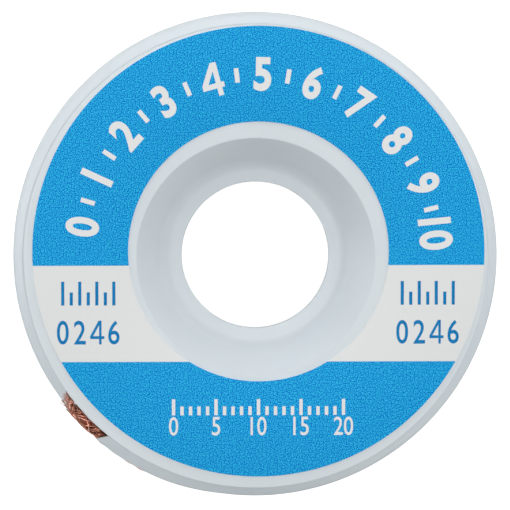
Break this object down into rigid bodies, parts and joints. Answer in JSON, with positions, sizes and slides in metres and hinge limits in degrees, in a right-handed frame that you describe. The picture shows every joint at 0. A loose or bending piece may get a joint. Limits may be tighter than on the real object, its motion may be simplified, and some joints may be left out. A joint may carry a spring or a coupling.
{
  "type": "desoldering braid reel",
  "caption": "Flat plastic reel with a dished, bored centre, a blue and white paper label, and copper desoldering braid wound inside that comes out through a mouth in the rim.",
  "frame": {"origin": "centre of the back face that the reel lies on, on the reel's axis", "axes": "+Z up along the reel's axis, out of the labelled face; +X to the right and +Y up as the label is read"},
  "size_m": [0.057, 0.057, 0.0082],
  "materials": {
    "white_plastic": "satin moulded plastic",
    "printed_label": "blue print with a white band",
    "copper_braid": "fine braided copper wire"
  },
  "bodies": {
    "root": {"back_shell": "white_plastic", "front_flange": "white_plastic", "label": "printed_label", "braid": "copper_braid"}
  },
  "joints": []
}
